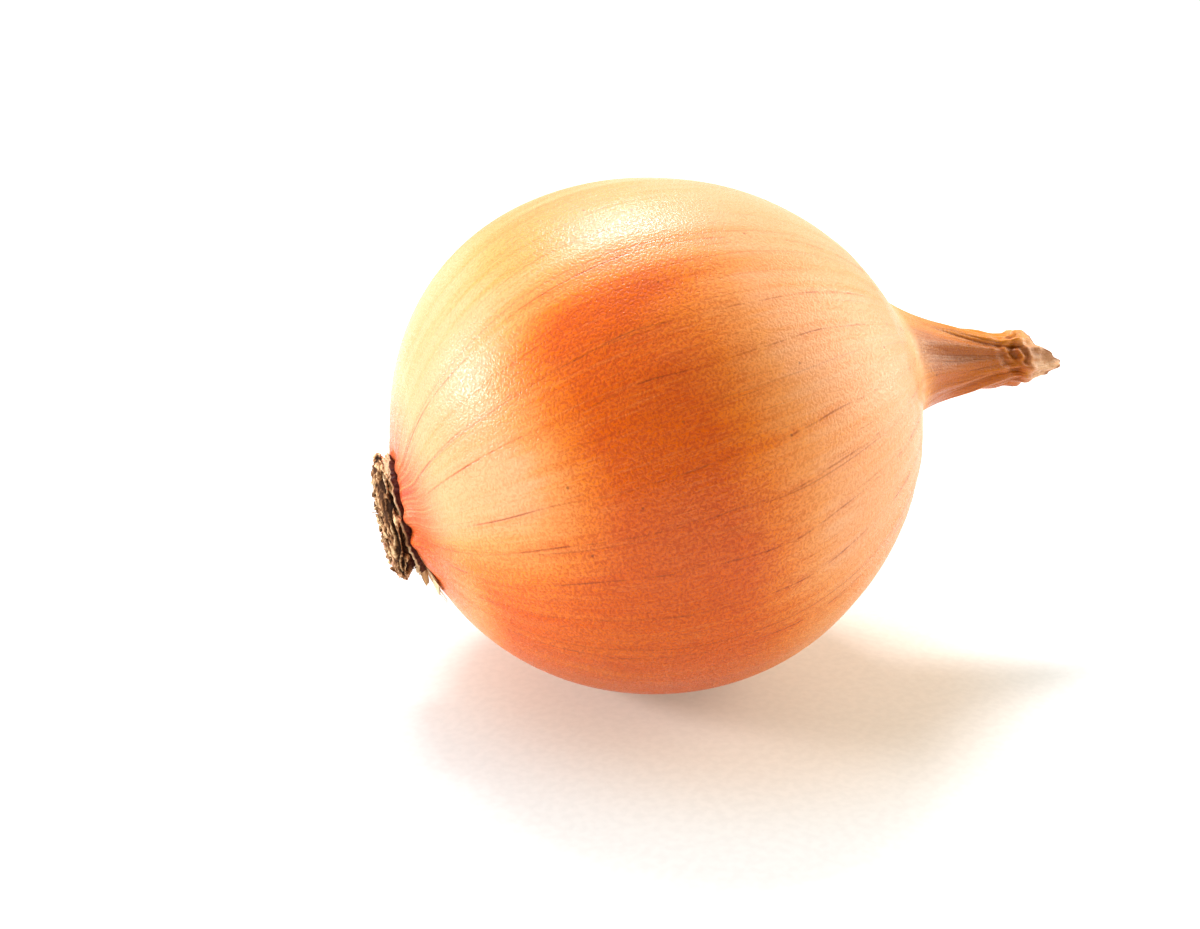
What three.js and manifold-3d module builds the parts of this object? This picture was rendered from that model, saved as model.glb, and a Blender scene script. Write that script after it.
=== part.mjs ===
import * as THREE from 'three';
import { mergeVertices } from 'three/addons/utils/BufferGeometryUtils.js';
import Module from 'manifold-3d';

// Yellow onion lying on its side, millimetres, +Z up, neck towards +X.
// The bulb is described along its own axis: x runs from the root (-) to the neck (+),
// theta runs round it, 0 facing -Y and 90 degrees facing up.

// Bulb size and shape
const AXIS_TILT_DEG = 14.68;
const BULB_RADIUS = 34.45;
const BULB_HALF_LENGTH = 35.42;
const TAPER_1 = -0.054;
const TAPER_2 = -0.0089;
const TAPER_3 = -0.0238;
const OVAL = 0.0027;
const THREE_SIDED = -0.0067;
const LEAN_SIDE = [-0.0039, 0.0057, 0];
const LEAN_UP = [0.0079, -0.0269, 0.0244];
const FLAT_SPOT_DEPTH = 0.45;

// Neck size and shape
const NECK_TIP_RADIUS = 3.499;
const NECK_FLARE = 5.483;
const NECK_FLARE_LENGTH = 7.326;
const NECK_FLARE_START = 7;
const NECK_BLEND = 3.077;
const NECK_DROOP_SLOPE = 0.338;
const NECK_DROOP_START = 1.802;
const NECK_DROOP_SOFTNESS = 1.07;
const NECK_PLAIN_END = 53;
const NECK_END = 56.6;
const NECK_RING_STEP = 1.15;
const TIP_LIFT = 0.2;
const RIDGE_DEPTH = 0.085;
const WAIST_X = 52;
const WAIST_WIDTH = 1.2;
const WAIST_DEPTH = 0.07;

// Torn tip: how far its parts reach past the neck's end, and the share of the plain radius kept at each x
const TONGUE_LENGTH = 3.7;
const HOOK_LENGTH = 0.5;
const NOTCH_DEPTH = 0.6;
const CRATER_DEPTH = 2.2;
const CRATER_RADIUS = 1.9;
const CRATER_FLOOR_RADIUS = 1.0;
const TIP_SHARES = [0.25, 0.5, 0.75, 0.9, 1];
const TIP_NARROWING = [
  [53, 1],
  [54.8, 1.03],
  [56.6, 0.9],
  [58, 0.8],
  [59.4, 0.76],
  [60.5, 0.68],
];

// Root end
const ROOT_LIFT = 1.0;
const RECESS_RADIUS = 7.9;
const RECESS_RIM_RADIUS = 8.35;
const RECESS_FLOOR_RADIUS = 4.6;
const RECESS_FLOOR_X = -33.0;
const ROOT_SECTION_X = -34;
const PLATE_BACK_X = -33.35;
const PLATE_BASE_RADIUS = 7.3;
const PLATE_RADIUS = 8.4;
const PLATE_RIM_X = -37.2;
const PLATE_FACE_X = -38.9;
const PLATE_LEAN = 0.1;
const PLATE_COLUMNS = 56;
const STUB_COUNT = 44;
const STUB_SIDES = 6;
const STUB_REACH = 7.5;
const STUB_DEPTH = 1.4;
const GOLDEN_ANGLE = 2.39996;
const COLLAR_GAP = 0.32;
const COLLAR_THICKNESS = 0.62;
const COLLAR_INNER_RADIUS = 7.95;
const COLLAR_OUTER_RADIUS = 9.1;
const COLLAR_COLUMNS = 96;
const COLLAR_STEPS = 5;
const FLAKE_LENGTH = 3.3;
const FLAKE_ANGLE_DEG = 305;
const FLAKE_WIDTH = 0.35;

const COLUMNS = 84;
const BULB_STEPS = 27;
const NECK_START = 30;
const CUT_BOX = 300;
const TURN = Math.PI * 2;
const tilt = THREE.MathUtils.degToRad(AXIS_TILT_DEG);
const along = new THREE.Vector3(Math.cos(tilt), 0, Math.sin(tilt));
const upward = new THREE.Vector3(-Math.sin(tilt), 0, Math.cos(tilt));
const facing = new THREE.Vector3(0, -1, 0);

function smooth(a, b, x) {
  const t = Math.min(1, Math.max(0, (x - a) / (b - a)));
  return t * t * (3 - 2 * t);
}

function bump(theta, centre, width) {
  let d = Math.abs(theta - centre) % TURN;
  d = Math.min(d, TURN - d);
  return Math.exp(-((d / width) ** 2));
}

function bulbRadius(x) {
  const u = Math.min(1, Math.max(-1, x / BULB_HALF_LENGTH));
  const taper = 1 + TAPER_1 * u + TAPER_2 * u * u + TAPER_3 * u ** 3;
  return BULB_RADIUS * Math.sqrt(1 - u * u) * taper;
}

function neckRadius(x) {
  const q = Math.max(-NECK_FLARE_START, x - BULB_HALF_LENGTH);
  return NECK_TIP_RADIUS + NECK_FLARE * Math.exp(-q / NECK_FLARE_LENGTH);
}

// The larger of bulb and neck, with a soft concave shoulder between them
function bodyRadius(x) {
  const b = bulbRadius(x);
  if (x < 0) return b;
  const n = neckRadius(x);
  const h = Math.min(1, Math.max(0, 0.5 + (0.5 * (n - b)) / NECK_BLEND));
  return b * (1 - h) + n * h + NECK_BLEND * h * (1 - h);
}

function section(x, theta) {
  const w = smooth(BULB_HALF_LENGTH + 4, BULB_HALF_LENGTH - 12, x);
  const u = x / BULB_HALF_LENGTH;
  const side = LEAN_SIDE[0] + LEAN_SIDE[1] * u + LEAN_SIDE[2] * u * u;
  const up = LEAN_UP[0] + LEAN_UP[1] * u + LEAN_UP[2] * u * u;
  const lean = side * Math.cos(theta) + up * Math.sin(theta);
  return 1 + w * (OVAL * Math.cos(2 * theta) + THREE_SIDED * Math.sin(3 * theta) + lean);
}

// Lengthwise folds of the dried neck, growing out of the shoulder
function ridges(x, theta) {
  const w = smooth(33, 46, x);
  const twist = 0.012 * (x - BULB_HALF_LENGTH);
  const a = 0.55 * Math.cos(7 * (theta + twist) + 1.1);
  const b = 0.45 * Math.cos(11 * (theta - twist) + 0.4);
  const c = 0.25 * Math.cos(3 * theta + 2.2);
  return 1 + RIDGE_DEPTH * w * (a + b + c);
}

function centreHeight(x) {
  const k = NECK_DROOP_SOFTNESS;
  const q = (x - BULB_HALF_LENGTH + NECK_DROOP_START) / k;
  const droop = q > 30 ? q : Math.log1p(Math.exp(q));
  const lift = ROOT_LIFT * smooth(-33, -35.2, x) + TIP_LIFT * smooth(50, 57, x);
  return lift - NECK_DROOP_SLOPE * k * droop;
}

function place(x, radius, theta) {
  const p = along.clone().multiplyScalar(x);
  p.addScaledVector(facing, radius * Math.cos(theta));
  p.addScaledVector(upward, radius * Math.sin(theta) + centreHeight(x));
  return p;
}

// The neck is wrung a little narrower just before its torn tip
function waist(x) {
  return 1 - WAIST_DEPTH * Math.exp(-(((x - WAIST_X) / WAIST_WIDTH) ** 2));
}

function skinPoint(x, theta) {
  return place(x, bodyRadius(x) * section(x, theta) * ridges(x, theta) * waist(x), theta);
}

// Rings of equal length joined into one closed surface, a centre point at each end
function closedRings(first, rings, last) {
  const n = rings[0].length;
  const points = [first];
  for (const ring of rings) points.push(...ring);
  points.push(last);
  const at = (i, j) => 1 + i * n + (j % n);
  const faces = [];
  for (let j = 0; j < n; j++) faces.push(0, at(0, j + 1), at(0, j));
  for (let i = 0; i + 1 < rings.length; i++) {
    for (let j = 0; j < n; j++) {
      faces.push(at(i, j), at(i, j + 1), at(i + 1, j + 1));
      faces.push(at(i, j), at(i + 1, j + 1), at(i + 1, j));
    }
  }
  const end = points.length - 1;
  const m = rings.length - 1;
  for (let j = 0; j < n; j++) faces.push(end, at(m, j), at(m, j + 1));
  return { points, faces };
}

const wasm = await Module();
wasm.setup();

function solid({ points, faces }) {
  const vertProperties = new Float32Array(points.flatMap((p) => [p.x, p.y, p.z]));
  const triVerts = new Uint32Array(faces);
  return new wasm.Manifold(new wasm.Mesh({ numProp: 3, vertProperties, triVerts }));
}

function toGeometry(manifold) {
  const mesh = manifold.getMesh();
  const n = mesh.numProp;
  const count = mesh.vertProperties.length / n;
  const positions = new Float32Array(count * 3);
  for (let i = 0; i < count; i++) {
    for (let k = 0; k < 3; k++) positions[i * 3 + k] = mesh.vertProperties[i * n + k];
  }
  let geometry = new THREE.BufferGeometry();
  geometry.setAttribute('position', new THREE.BufferAttribute(positions, 3));
  geometry.setIndex(Array.from(mesh.triVerts));
  geometry = mergeVertices(geometry, 1e-4);
  geometry.computeVertexNormals();
  return geometry;
}

function ringOf(make) {
  return Array.from({ length: COLUMNS }, (_, j) => make((TURN * j) / COLUMNS));
}

// Bulb and neck, one skin: recess for the root plate, bulb, neck, torn tip
function bulbSolid() {
  const rings = [];
  for (const r of [RECESS_FLOOR_RADIUS, RECESS_RADIUS]) {
    rings.push(ringOf((t) => place(RECESS_FLOOR_X, r * section(ROOT_SECTION_X, t), t)));
  }
  const start = axialAt(RECESS_RIM_RADIUS);
  rings.push(ringOf((t) => place(start - 0.02, (RECESS_RIM_RADIUS - 0.25) * section(start, t), t)));
  const first = Math.acos(-start / BULB_HALF_LENGTH);
  const last = Math.acos(-NECK_START / BULB_HALF_LENGTH);
  for (let i = 0; i <= BULB_STEPS; i++) {
    const x = -BULB_HALF_LENGTH * Math.cos(first + ((last - first) * i) / BULB_STEPS);
    rings.push(ringOf((t) => skinPoint(x, t)));
  }
  for (let x = NECK_START + 1; x <= NECK_PLAIN_END; x += NECK_RING_STEP) {
    rings.push(ringOf((t) => skinPoint(x, t)));
  }
  rings.push(...tipRings());
  const inside = place(NECK_END - CRATER_DEPTH, 0.3, 1.4);
  return solid(closedRings(place(RECESS_FLOOR_X, 0, 0), rings, inside));
}

// How far the torn edge reaches: a tongue in front, a notch, a hook on top, small tears
function tipEdge(t) {
  const tongue = TONGUE_LENGTH * bump(t, 0.1, 0.74);
  const notch = NOTCH_DEPTH * bump(t, 1.1, 0.2);
  const hook = HOOK_LENGTH * bump(t, 1.7, 0.3);
  const torn = 0.22 * Math.sin(7 * t + 0.7) + 0.14 * Math.sin(15 * t);
  return NECK_END + tongue - notch + hook + torn;
}

// Share of its radius that the torn edge keeps: the hook stands out, the far side is drawn in
function tipPinch(t) {
  const creased = 0.07 * Math.cos(5 * t + 2) + 0.05 * Math.cos(9 * t + 0.5);
  return 1 + 0.42 * bump(t, 1.6, 0.3) - 0.25 * bump(t, 4.4, 1.1) + creased;
}

function tipNarrowing(x) {
  const next = TIP_NARROWING.findIndex(([limit]) => limit > x);
  if (next < 0) return TIP_NARROWING[TIP_NARROWING.length - 1][1];
  if (next === 0) return TIP_NARROWING[0][1];
  const [x0, share0] = TIP_NARROWING[next - 1];
  const [x1, share1] = TIP_NARROWING[next];
  return share0 + ((share1 - share0) * (x - x0)) / (x1 - x0);
}

// Torn, curled end of the neck, then the crater inside it
function tipRings() {
  const rings = TIP_SHARES.map((share) =>
    ringOf((t) => {
      const x = NECK_PLAIN_END + (tipEdge(t) - NECK_PLAIN_END) * share;
      const r = bodyRadius(Math.min(x, 58)) * ridges(x, t) * waist(x) * tipNarrowing(x);
      return place(x, r * (1 + smooth(0.2, 1, share) * (tipPinch(t) - 1)), t);
    }),
  );
  const floor = NECK_END - CRATER_DEPTH;
  rings.push(ringOf((t) => place(floor + 0.35 * (tipEdge(t) - floor), CRATER_RADIUS * tipPinch(t), t)));
  rings.push(ringOf((t) => place(floor, CRATER_FLOOR_RADIUS, t)));
  return rings;
}

// Small repeatable noise
let seed = 7;
function random() {
  seed = (seed * 1103515245 + 12345) % 2147483648;
  return seed / 2147483648;
}

// Dried basal plate: a low crumbly dome with the stubs of the roots fused to it
function plateSolid() {
  const wave = (t, k) => 0.3 * Math.sin(5 * t + k) + 0.2 * Math.sin(9 * t + 2 * k);
  const ring = (x, r, rough) =>
    Array.from({ length: PLATE_COLUMNS }, (_, j) => {
      const t = (TURN * j) / PLATE_COLUMNS;
      const lift = rough * (random() - 0.5);
      const edge = x < -36 && r > 7 ? 0.5 * wave(t, x) : 0;
      const radius = (r + edge + rough * 0.4 * (random() - 0.5)) * section(ROOT_SECTION_X, t);
      const lean = x < -36 ? PLATE_LEAN * r * Math.sin(t) : 0;
      return place(x + lift + lean, radius, t);
    });
  const rings = [
    ring(PLATE_BACK_X, 4.5, 0),
    ring(PLATE_BACK_X, PLATE_BASE_RADIUS - 0.1, 0),
    ring(-34.4, PLATE_BASE_RADIUS, 0),
    ring(-35.6, PLATE_BASE_RADIUS + 0.1, 0.15),
    ring(-36.4, PLATE_RADIUS - 0.4, 0.3),
    ring(PLATE_RIM_X, PLATE_RADIUS, 0.6),
    ring(-37.9, 6.9, 0.8),
    ring(-38.5, 4.6, 0.8),
    ring(PLATE_FACE_X, 2.2, 0.7),
  ];
  let body = solid(closedRings(place(PLATE_BACK_X, 0, 0), rings, place(PLATE_FACE_X, 0, 0)));
  body = orient(body);
  for (let i = 0; i < STUB_COUNT; i++) {
    const t = i * GOLDEN_ANGLE + 0.4 * random();
    const r = STUB_REACH * Math.sqrt((i + 0.6) / STUB_COUNT);
    body = body.add(orient(stubSolid(t, r)));
  }
  return body;
}

// One root stub: a tapered bent six-sided peg, sunk into the plate
function stubSolid(t, r) {
  const width = 0.42 + 0.3 * random();
  const length = 0.35 + 0.75 * random();
  const lean = 0.1 + 0.08 * r * random();
  const turn = (random() - 0.5) * 0.12;
  const face = -38.5 + 1.3 * (r / PLATE_RADIUS) ** 3 + PLATE_LEAN * r * Math.sin(t);
  const rings = [];
  const levels = [-STUB_DEPTH, -0.2, 0.55, 1];
  const shrink = [1, 1.1, 1, 0.7];
  levels.forEach((level, k) => {
    const out = level < 0 ? level : level * length;
    const centre = place(face - out, r + Math.max(0, out) * lean, t + Math.max(0, out) * turn);
    const side = new THREE.Vector3().crossVectors(along, upward);
    const ring = [];
    for (let j = 0; j < STUB_SIDES; j++) {
      const a = (TURN * j) / STUB_SIDES + 3.7 * t;
      const p = centre.clone();
      p.addScaledVector(side, width * shrink[k] * Math.cos(a));
      p.addScaledVector(upward, width * shrink[k] * Math.sin(a));
      ring.push(p);
    }
    rings.push(ring);
  });
  return solid(closedRings(middle(rings[0]), rings, middle(rings[3])));
}

function middle(ring) {
  return ring.reduce((sum, p) => sum.add(p), new THREE.Vector3()).divideScalar(ring.length);
}

// A box centred on the Z axis, used to cut the flat spot
function boxSolid(side, height) {
  let box = new THREE.BoxGeometry(side, side, side);
  box.deleteAttribute('normal');
  box.deleteAttribute('uv');
  box = mergeVertices(box);
  box.translate(0, 0, height);
  const vertProperties = new Float32Array(box.attributes.position.array);
  const triVerts = new Uint32Array(box.index.array);
  return new wasm.Manifold(new wasm.Mesh({ numProp: 3, vertProperties, triVerts }));
}

// A surface wound the other way round is turned inside out
function orient(manifold) {
  return manifold.volume() > 0 ? manifold : flip(manifold);
}

function flip(manifold) {
  const mesh = manifold.getMesh();
  const faces = Array.from(mesh.triVerts);
  for (let i = 0; i < faces.length; i += 3) [faces[i], faces[i + 1]] = [faces[i + 1], faces[i]];
  const vertProperties = mesh.vertProperties;
  return new wasm.Manifold(new wasm.Mesh({ numProp: 3, vertProperties, triVerts: new Uint32Array(faces) }));
}

// Outward normal of the bulb's skin by small steps along and around
function skinNormal(x, theta) {
  const a = skinPoint(x + 0.02, theta).sub(skinPoint(x - 0.02, theta));
  const b = skinPoint(x, theta + 0.002).sub(skinPoint(x, theta - 0.002));
  return a.cross(b).normalize();
}

function axialAt(radius) {
  let low = -BULB_HALF_LENGTH;
  let high = -20;
  for (let i = 0; i < 40; i++) {
    const x = (low + high) / 2;
    if (bodyRadius(x) < radius) low = x;
    else high = x;
  }
  return (low + high) / 2;
}

// Ragged ring of torn skin lying on the bulb round the plate, one long flake below
function collarSolid() {
  const reach = (t) => {
    const ragged = 0.28 * Math.sin(6 * t + 1) + 0.22 * Math.sin(13 * t) + 0.12 * Math.sin(23 * t + 2);
    const flake = FLAKE_LENGTH * bump(t, THREE.MathUtils.degToRad(FLAKE_ANGLE_DEG), FLAKE_WIDTH);
    const short = 1.0 * bump(t, Math.PI / 2, 0.9);
    return Math.max(COLLAR_INNER_RADIUS + 0.5, COLLAR_OUTER_RADIUS + ragged + flake - short);
  };
  const loops = [];
  for (let j = 0; j < COLLAR_COLUMNS; j++) {
    const t = (TURN * j) / COLLAR_COLUMNS;
    const outer = reach(t);
    const curl = 0.14 + 0.1 * Math.sin(4 * t + 1);
    const lower = [];
    const upper = [];
    for (let i = 0; i <= COLLAR_STEPS; i++) {
      const s = i / COLLAR_STEPS;
      const r = COLLAR_INNER_RADIUS + (outer - COLLAR_INNER_RADIUS) * s;
      const x = axialAt(r);
      const p = skinPoint(x, t);
      const normal = skinNormal(x, t);
      const height = COLLAR_GAP + curl * s * s;
      lower.push(p.clone().addScaledVector(normal, height));
      upper.push(p.clone().addScaledVector(normal, height + COLLAR_THICKNESS));
    }
    loops.push([...lower, ...upper.reverse()]);
  }
  const m = loops[0].length;
  const points = loops.flat();
  const faces = [];
  for (let j = 0; j < COLLAR_COLUMNS; j++) {
    const k = (j + 1) % COLLAR_COLUMNS;
    for (let i = 0; i < m; i++) {
      const l = (i + 1) % m;
      faces.push(j * m + i, j * m + l, k * m + l, j * m + i, k * m + l, k * m + i);
    }
  }
  return orient(solid({ points, faces }));
}

const bulbWhole = orient(bulbSolid());
const plate = plateSolid();
const collar = collarSolid();

// Small flat spot the bulb rests on
const lowest = bulbWhole.boundingBox().min[2] + FLAT_SPOT_DEPTH;
const bulb = bulbWhole.intersect(boxSolid(CUT_BOX, lowest + CUT_BOX / 2));

// Origin at the middle of the bottom of the box round the whole onion
const boxes = [bulb, plate, collar].map((s) => s.boundingBox());
const low = [0, 1, 2].map((k) => Math.min(...boxes.map((b) => b.min[k])));
const high = [0, 1, 2].map((k) => Math.max(...boxes.map((b) => b.max[k])));
const laid = new THREE.Group();
laid.position.set(-(low[0] + high[0]) / 2, -(low[1] + high[1]) / 2, -low[2]);

function node(name, manifold, color, roughness) {
  const material = new THREE.MeshStandardMaterial({ color, roughness, metalness: 0 });
  material.name = name;
  const mesh = new THREE.Mesh(toGeometry(manifold), material);
  mesh.name = name;
  return mesh;
}

laid.add(node('bulb', bulb, 0xd98a3a, 0.4));
laid.add(node('root_plate', plate, 0x8a6440, 0.9));
laid.add(node('skin_collar', collar, 0xe0bd84, 0.7));

const group = new THREE.Group();
group.name = 'onion';
group.add(laid);

export default group;
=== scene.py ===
import math

import bpy
import numpy as np
from mathutils import Matrix, Vector


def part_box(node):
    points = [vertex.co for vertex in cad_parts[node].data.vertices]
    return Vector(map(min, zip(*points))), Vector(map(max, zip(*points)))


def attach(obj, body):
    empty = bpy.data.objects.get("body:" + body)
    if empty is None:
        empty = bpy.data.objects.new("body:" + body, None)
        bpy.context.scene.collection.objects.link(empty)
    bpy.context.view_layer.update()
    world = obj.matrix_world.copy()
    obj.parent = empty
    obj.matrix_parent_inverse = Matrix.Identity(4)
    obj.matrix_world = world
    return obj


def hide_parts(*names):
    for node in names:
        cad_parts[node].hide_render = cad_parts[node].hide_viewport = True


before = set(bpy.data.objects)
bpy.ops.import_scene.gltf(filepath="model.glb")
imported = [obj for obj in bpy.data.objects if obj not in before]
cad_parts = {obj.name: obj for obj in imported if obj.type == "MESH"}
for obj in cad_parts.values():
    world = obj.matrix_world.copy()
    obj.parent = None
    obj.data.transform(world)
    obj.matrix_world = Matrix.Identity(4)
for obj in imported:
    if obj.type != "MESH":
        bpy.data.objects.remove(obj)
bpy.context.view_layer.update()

# A yellow onion on its side. Shapes are worked out in millimetres along the bulb's own axis:
# x runs from the root (-) to the neck (+), theta runs round it, 0 facing -Y and 90 degrees facing up.
MM = 0.001
TURN = 2 * math.pi

# Bulb
AXIS_TILT = math.radians(14.68)
BULB_RADIUS = 34.45
BULB_HALF_LENGTH = 35.42
TAPER = (-0.054, -0.0089, -0.0238)
OVAL = 0.0027
THREE_SIDED = -0.0067
LEAN_SIDE = (-0.0039, 0.0057, 0.0)
LEAN_UP = (0.0079, -0.0269, 0.0244)

# Neck
NECK_TIP_RADIUS = 3.499
NECK_FLARE = 5.483
NECK_FLARE_LENGTH = 7.326
NECK_FLARE_START = 7
NECK_BLEND = 3.077
NECK_DROOP_SLOPE = 0.338
NECK_DROOP_START = 1.802
NECK_DROOP_SOFTNESS = 1.07
NECK_END = 56.6
NECK_PLAIN_END = 53.0
TIP_LIFT = 0.2
TIP_LIFT_X = (50, 57)
RIDGE_DEPTH = 0.085
RIDGE_START_X = (33, 46)
NECK_ROWS_FROM = 30
WAIST_X = 52.0
WAIST_DEPTH = 0.07
WAIST_WIDTH = 1.2
TONGUE_LENGTH = 3.7
TONGUE_AROUND = (0.1, 0.74)
HOOK_LENGTH = 0.5
HOOK_AROUND = (1.7, 0.3)
NOTCH_DEPTH = 0.6
NOTCH_AROUND = (1.1, 0.2)
CRATER_DEPTH = 2.2
TIP_NARROWING = ((53.0, 1.0), (54.8, 1.03), (56.6, 0.9), (58.0, 0.8), (59.4, 0.76), (60.5, 0.68))
KNOT_X = 52.8
KNOT_ANGLE = 0.42
KNOT_PULL = 0.75
KNOT_PULL_X = (42, 57)

# Root end. The plate's profile is (x, radius) from its waist to the middle of its face.
ROOT_LIFT = 1.0
ROOT_LIFT_X = (-33, -35.2)
ROOT_SECTION_X = -34
PLATE_PROFILE = (
    (-33.35, 4.5), (-33.4, 6.3), (-34.6, 6.5), (-35.6, 6.6), (-36.3, 7.0), (-36.55, 7.9),
    (-36.9, 8.4), (-37.6, 8.1), (-38.2, 7.0), (-38.55, 5.0), (-38.7, 2.4), (-38.75, 0.3),
)
PLATE_LEAN = 0.125
PLATE_FRONT_X = (-36.25, -36.65)
PLATE_FACE_RADIUS = (7.9, 6.6)
PLATE_RIM_RADIUS = (9.3, 8.0)
PLATE_ROWS = 120
PLATE_COLUMNS = 320
ROOT_FULLNESS = 1.066
STUB_COUNT = 34
STUB_REACH = 6.2
STUB_RADIUS = (0.24, 0.46)
STUB_LENGTH = (0.05, 0.25)
STUB_HEIGHTS = (-0.5, 0.0, 0.45, 0.8, 1.0, 0.97, 0.7, 0.5)
STUB_WIDTHS = (1.25, 1.05, 0.95, 1.0, 0.92, 0.7, 0.55, 0.25)
STUB_SIDES = 9
THREAD_COUNT = 16
THREAD_REACH = (2.5, 8.2)
THREAD_LENGTH = (0.5, 1.5)
THREAD_RADIUS = 0.085
THREAD_SIDES = 6
GOLDEN_ANGLE = math.radians(137.508)
COLLAR_ROWS = 16
COLLAR_COLUMNS = 420
SLIVER_COUNT = 9
COLLAR_RADIUS = 7.6
FLAKE_LENGTH = 3.9
FLAKE_ANGLE = math.radians(308)

# Camera: where it stands from the bulb's middle, and where that middle falls in the picture
CAMERA_AZIMUTH = math.radians(-16.3)
CAMERA_ELEVATION = math.radians(17.8)
CAMERA_DEPTH = 162.2
CAMERA_LENS = 36.0
SENSOR_WIDTH = 36.0
NEAREST_SEEN = 0.005
PICTURE_WIDTH = 1200
MIDDLE_RIGHT_OF_CENTRE = 58.13 / PICTURE_WIDTH
MIDDLE_ABOVE_CENTRE = 28.94 / PICTURE_WIDTH
FLOOR_SIZE = 12.0

ALONG = np.array([math.cos(AXIS_TILT), 0, math.sin(AXIS_TILT)])
UPWARD = np.array([-math.sin(AXIS_TILT), 0, math.cos(AXIS_TILT)])
FACING = np.array([0.0, -1.0, 0.0])


def smooth(a, b, x):
    """0 before a, 1 after b, 3t^2 - 2t^3 between."""
    t = np.clip((np.asarray(x, float) - a) / (b - a), 0, 1)
    return t * t * (3 - 2 * t)


def bump(theta, centre, width):
    """exp(-(d / width)^2), d the shortest angle from centre."""
    d = np.abs((np.asarray(theta, float) - centre + math.pi) % TURN - math.pi)
    return np.exp(-((d / width) ** 2))


def waves(points, wavelength, seed, count=9):
    """Sum of sines along seeded directions, each about one wavelength long, between about -1 and 1."""
    draw = np.random.default_rng(seed)
    direction = draw.normal(size=(count, 3))
    direction /= np.linalg.norm(direction, axis=1, keepdims=True)
    pace = TURN / wavelength * draw.uniform(0.7, 1.4, count)
    phase = draw.uniform(0, TURN, count)
    return np.sin(points @ (direction * pace[:, None]).T + phase).sum(-1) / math.sqrt(count)


def bulb_radius(x):
    """R sqrt(1 - u^2) (1 + t1 u + t2 u^2 + t3 u^3), u = x / half length."""
    u = np.clip(np.asarray(x, float) / BULB_HALF_LENGTH, -1, 1)
    return BULB_RADIUS * np.sqrt(1 - u * u) * (1 + TAPER[0] * u + TAPER[1] * u**2 + TAPER[2] * u**3)


def body_radius(x):
    """The larger of bulb and neck, the neck being r0 + r1 exp(-q / L), with a soft shoulder between."""
    x = np.asarray(x, float)
    b = bulb_radius(x)
    q = np.maximum(-NECK_FLARE_START, x - BULB_HALF_LENGTH)
    n = NECK_TIP_RADIUS + NECK_FLARE * np.exp(-q / NECK_FLARE_LENGTH)
    h = np.clip(0.5 + 0.5 * (n - b) / NECK_BLEND, 0, 1)
    both = b * (1 - h) + n * h + NECK_BLEND * h * (1 - h)
    return np.where(x < 0, b, both)


def section(x, theta):
    """1 + small cosines of theta: the bulb's departure from round, faded out along the neck."""
    w = smooth(BULB_HALF_LENGTH + 4, BULB_HALF_LENGTH - 12, x)
    u = x / BULB_HALF_LENGTH
    side = LEAN_SIDE[0] + LEAN_SIDE[1] * u + LEAN_SIDE[2] * u * u
    up = LEAN_UP[0] + LEAN_UP[1] * u + LEAN_UP[2] * u * u
    lean = side * np.cos(theta) + up * np.sin(theta)
    return 1 + w * (OVAL * np.cos(2 * theta) + THREE_SIDED * np.sin(3 * theta) + lean)


def ridge_wave(x, theta):
    """Sum of three cosines of theta, slowly twisting with x: the main folds of the neck."""
    twist = 0.012 * (x - BULB_HALF_LENGTH)
    a = 0.55 * np.cos(7 * (theta + twist) + 1.1)
    b = 0.45 * np.cos(11 * (theta - twist) + 0.4)
    c = 0.25 * np.cos(3 * theta + 2.2)
    return a + b + c


def ridges(x, theta):
    """1 + depth times the folds, growing out of the shoulder."""
    return 1 + RIDGE_DEPTH * smooth(*RIDGE_START_X, x) * ridge_wave(x, theta)


def centre_height(x):
    """Height of the middle line over the axis: lifted at the root, drooping evenly along the neck."""
    k = NECK_DROOP_SOFTNESS
    droop = np.logaddexp(0, (np.asarray(x, float) - BULB_HALF_LENGTH + NECK_DROOP_START) / k)
    lift = ROOT_LIFT * smooth(*ROOT_LIFT_X, x) + TIP_LIFT * smooth(*TIP_LIFT_X, x)
    return lift - NECK_DROOP_SLOPE * k * droop


def place(x, radius, theta):
    """Point at x along the axis, radius out at theta, in millimetres from the bulb's middle."""
    x, radius, theta = np.broadcast_arrays(*(np.asarray(v, float) for v in (x, radius, theta)))
    side = radius * np.cos(theta)
    up = radius * np.sin(theta) + centre_height(x)
    return x[..., None] * ALONG + side[..., None] * FACING + up[..., None] * UPWARD


def skin_radius(x, theta):
    """The body's radius, times its section, times its folds."""
    return body_radius(x) * section(x, theta) * ridges(x, theta)


def bulb_middle():
    """Where the bulb's middle is in the frame: its root end, sides and top meet the box of the CAD bulb."""
    x = -BULB_HALF_LENGTH * np.cos(np.linspace(0.25, 2.2, 300))[:, None]
    theta = np.linspace(0, TURN, 360, endpoint=False)[None, :]
    points = place(x, skin_radius(x, theta), theta)
    low, high = (np.array(corner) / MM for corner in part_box("bulb"))
    own_low = points.min(axis=(0, 1))
    own_high = points.max(axis=(0, 1))
    side = (low[1] + high[1] - own_low[1] - own_high[1]) / 2
    return np.array([low[0] - own_low[0], side, high[2] - own_high[2]])


MIDDLE = bulb_middle()


def in_frame(points):
    """Millimetres from the bulb's middle to metres in the frame."""
    return (points + MIDDLE) * MM


# Mesh helpers. A shape is (vertices, quads, triangles).

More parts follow.
